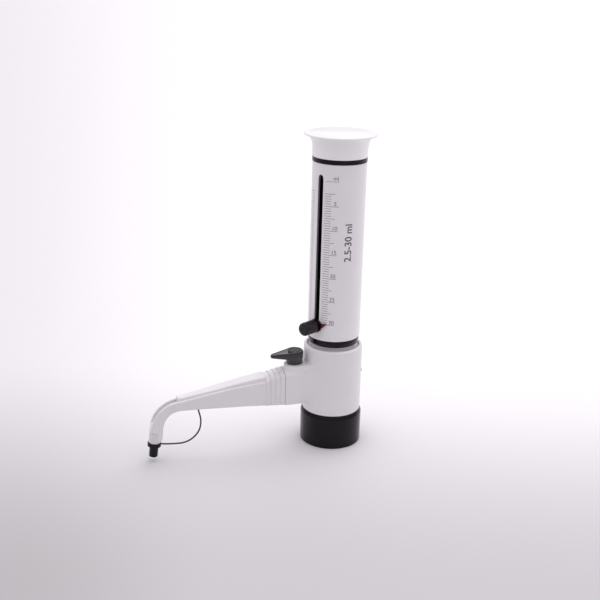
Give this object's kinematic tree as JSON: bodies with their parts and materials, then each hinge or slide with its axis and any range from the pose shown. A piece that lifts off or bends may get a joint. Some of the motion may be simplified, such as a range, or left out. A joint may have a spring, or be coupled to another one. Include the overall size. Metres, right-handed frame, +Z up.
{
  "type": "bottle-top piston dispenser",
  "caption": "Bottle-top piston dispenser: slotted scale sleeve with flared cap, clamping pointer, valve block with lever, tapered discharge arm with tethered closure, turning threaded collar.",
  "frame": {"origin": "centre of the collar's foot, on the barrel's axis", "axes": "+Z up along the barrel; -X along the discharge arm; +Y completes the right-handed frame"},
  "size_m": [0.1964, 0.0606, 0.2752],
  "materials": {
    "white_cap_plastic": "smooth satin white moulding",
    "sleeve_plastic": "satin white moulding with grey printed scale",
    "housing_plastic": "fine-grained light grey moulding",
    "black_plastic": "glossy black moulding",
    "lever_black": "glossy black moulding",
    "knob_black": "glossy black fluted moulding",
    "pointer_red": "dark red translucent moulding",
    "lever_disc_grey": "dark grey matt disc",
    "fluoropolymer": "waxy white",
    "clear_tube": "translucent tube",
    "tip_plastic": "translucent grey ferrule",
    "measuring_glass": "clear glass",
    "ceramic_ball": "polished valve ball",
    "seal_rubber": "black elastomer",
    "cord_black": "smooth flexible cord",
    "stainless": "bright stainless steel"
  },
  "bodies": {
    "base": {"retaining_ring": "stainless", "bottle_seal": "fluoropolymer", "valve_block_housing": "housing_plastic", "valve_core": "fluoropolymer", "filling_valve_body": "fluoropolymer", "discharge_valve_body": "fluoropolymer", "discharge_valve_plug": "fluoropolymer", "spindle_gland": "black_plastic", "spindle_o_ring": "seal_rubber", "vent_plug": "black_plastic", "barrel_gasket": "seal_rubber", "glass_barrel": "measuring_glass", "guard_tube": "black_plastic", "guard_ring": "black_plastic", "stroke_stop_ring": "black_plastic", "discharge_housing": "housing_plastic", "discharge_coupling": "fluoropolymer", "discharge_tube": "clear_tube", "nozzle_tip": "tip_plastic", "cap_tether": "cord_black"},
    "collar": {"threaded_collar": "black_plastic"},
    "plunger": {"plunger_cap": "white_cap_plastic", "sleeve_ring": "black_plastic", "scale_sleeve": "sleeve_plastic", "piston_rod": "fluoropolymer", "piston_seal": "fluoropolymer"},
    "index": {"index_tongue": "black_plastic", "index_pointer": "pointer_red"},
    "knob": {"index_knob": "knob_black"},
    "lever": {"valve_lever": "lever_black", "valve_spindle": "fluoropolymer", "lever_screw": "stainless", "lever_cap_disc": "lever_disc_grey"},
    "closure": {"closure_cap": "black_plastic"},
    "filling_ball": {"filling_valve_ball": "ceramic_ball"},
    "discharge_ball": {"discharge_valve_ball": "ceramic_ball"}
  },
  "joints": [
    {"name": "plunger_lift", "type": "slide", "parent": "base", "child": "plunger", "axis": [0, 0, 1], "range_m": [0, 0.1236]},
    {"name": "index_slide", "type": "slide", "parent": "plunger", "child": "index", "axis": [0, 0, 1], "range_m": [0, 0.1236]},
    {"name": "knob_turn", "type": "hinge", "parent": "index", "child": "knob", "pos_m": [-0.02905, -0.0148, 0.1124], "axis": [-0.891, -0.454, 0], "range_deg": [0, 270]},
    {"name": "lever_turn", "type": "hinge", "parent": "base", "child": "lever", "pos_m": [-0.0355, 0, 0.0815], "axis": [0, 0, 1], "range_deg": [0, 90]},
    {"name": "collar_turn", "type": "hinge", "parent": "base", "child": "collar", "pos_m": [0, 0, 0.015], "axis": [0, 0, 1], "continuous": true},
    {"name": "closure_pull", "type": "slide", "parent": "base", "child": "closure", "axis": [-0.1045, 0, -0.9945], "range_m": [0, 0.012], "deforming": ["cap_tether"]},
    {"name": "filling_ball_lift", "type": "slide", "parent": "base", "child": "filling_ball", "axis": [0, 0, 1], "range_m": [0, 0.0015]},
    {"name": "discharge_ball_lift", "type": "slide", "parent": "base", "child": "discharge_ball", "axis": [0, 0, 1], "range_m": [0, 0.0012]}
  ]
}
